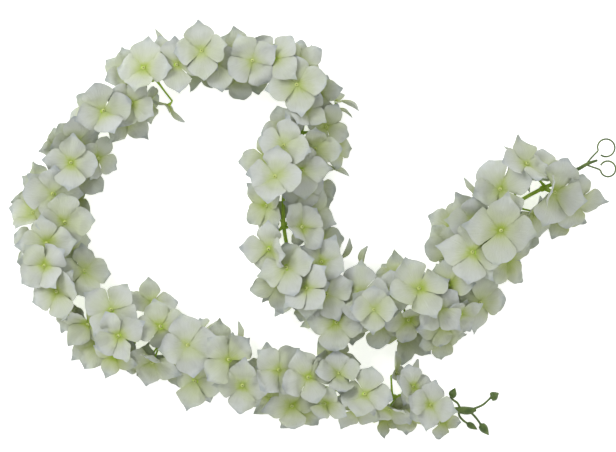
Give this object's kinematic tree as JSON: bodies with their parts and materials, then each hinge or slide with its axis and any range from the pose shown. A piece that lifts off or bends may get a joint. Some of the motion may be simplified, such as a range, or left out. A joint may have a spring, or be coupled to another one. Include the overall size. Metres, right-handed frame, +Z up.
{
  "type": "artificial hydrangea garland",
  "caption": "Silk hydrangea garland lying in an open swirl, white florets on sprigs along a green stem, buds at one end and looped tendrils at the other.",
  "frame": {"origin": "centre of the bounding box at the surface that the garland lies on", "axes": "+X along the longest extent, towards the tendrils; +Y across the swirl, away from the end with the buds; +Z up from the surface"},
  "size_m": [0.6807, 0.4585, 0.0853],
  "materials": {
    "silk_petals": "matt white silk with a pale green flush",
    "green_stem": "matt green moulded plastic"
  },
  "bodies": {
    "root": {"main_stem": "green_stem", "sprig_01": "silk_petals", "sprig_02": "silk_petals", "sprig_03": "silk_petals", "sprig_04": "silk_petals", "sprig_05": "silk_petals", "sprig_06": "silk_petals", "sprig_07": "silk_petals", "sprig_08": "silk_petals", "sprig_09": "silk_petals", "sprig_10": "silk_petals", "sprig_11": "silk_petals", "sprig_12": "silk_petals", "sprig_13": "silk_petals", "sprig_14": "silk_petals", "sprig_15": "silk_petals", "sprig_16": "silk_petals", "sprig_17": "silk_petals", "sprig_18": "silk_petals", "sprig_19": "silk_petals", "sprig_20": "silk_petals", "sprig_21": "silk_petals", "sprig_22": "silk_petals", "sprig_23": "silk_petals", "sprig_24": "silk_petals", "sprig_25": "silk_petals", "sprig_26": "silk_petals", "sprig_27": "silk_petals", "sprig_28": "silk_petals", "sprig_29": "silk_petals", "sprig_30": "silk_petals", "sprig_31": "silk_petals", "sprig_32": "silk_petals", "sprig_33": "silk_petals", "sprig_34": "silk_petals", "sprig_35": "silk_petals", "sprig_36": "silk_petals", "sprig_37": "silk_petals", "sprig_38": "silk_petals", "bud_spray": "green_stem", "tendril_spray": "green_stem"}
  },
  "joints": []
}
